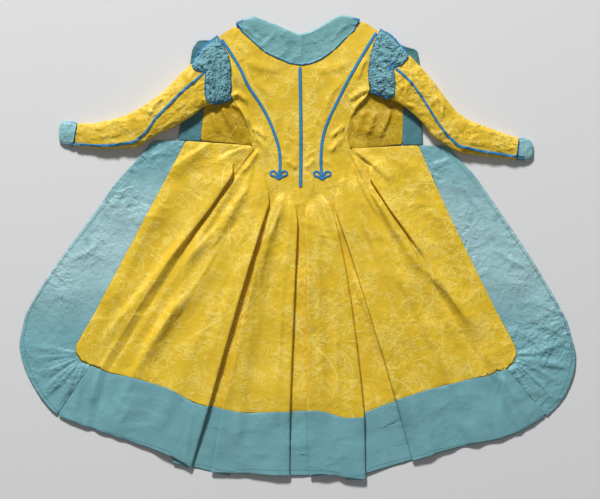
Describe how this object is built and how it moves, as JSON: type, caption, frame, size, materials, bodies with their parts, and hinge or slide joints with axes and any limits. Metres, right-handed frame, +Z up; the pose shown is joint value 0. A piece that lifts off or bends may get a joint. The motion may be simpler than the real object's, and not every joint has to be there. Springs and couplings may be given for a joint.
{
  "type": "robe a la circassienne",
  "caption": "Silk over-gown laid flat with its back up: fitted bodice, long sleeves with crinkled caps, falling collar and a wide pleated skirt with a broad border.",
  "frame": {"origin": "middle of the bounding box in X and Y, at the surface that the gown lies on", "axes": "+X across the skirt towards the right of the view from above, +Y from the hem to the neck, +Z up from the surface"},
  "size_m": [1.5566, 1.2986, 0.035],
  "materials": {
    "yellow_silk": "silk damask with a soft sheen",
    "blue_silk": "plain silk taffeta with a soft sheen",
    "blue_braid": "woven silk braid"
  },
  "bodies": {
    "root": {"back_left": "yellow_silk", "back_right": "yellow_silk", "side_back_left": "yellow_silk", "side_back_right": "yellow_silk", "front_left": "yellow_silk", "front_right": "yellow_silk", "skirt_left": "yellow_silk", "skirt_right": "yellow_silk", "sleeve_top_left": "yellow_silk", "sleeve_top_right": "yellow_silk", "sleeve_under_left": "yellow_silk", "sleeve_under_right": "yellow_silk", "front_band_left": "blue_silk", "front_band_right": "blue_silk", "skirt_band_left": "blue_silk", "skirt_band_right": "blue_silk", "hem_band_left": "blue_silk", "hem_band_right": "blue_silk", "collar": "blue_silk", "cuff_left": "blue_silk", "cuff_right": "blue_silk", "cap_left": "blue_silk", "cap_right": "blue_silk", "back_braid": "blue_braid", "curved_braid_left": "blue_braid", "curved_braid_right": "blue_braid", "sleeve_braid_left": "blue_braid", "sleeve_braid_right": "blue_braid"}
  },
  "joints": []
}
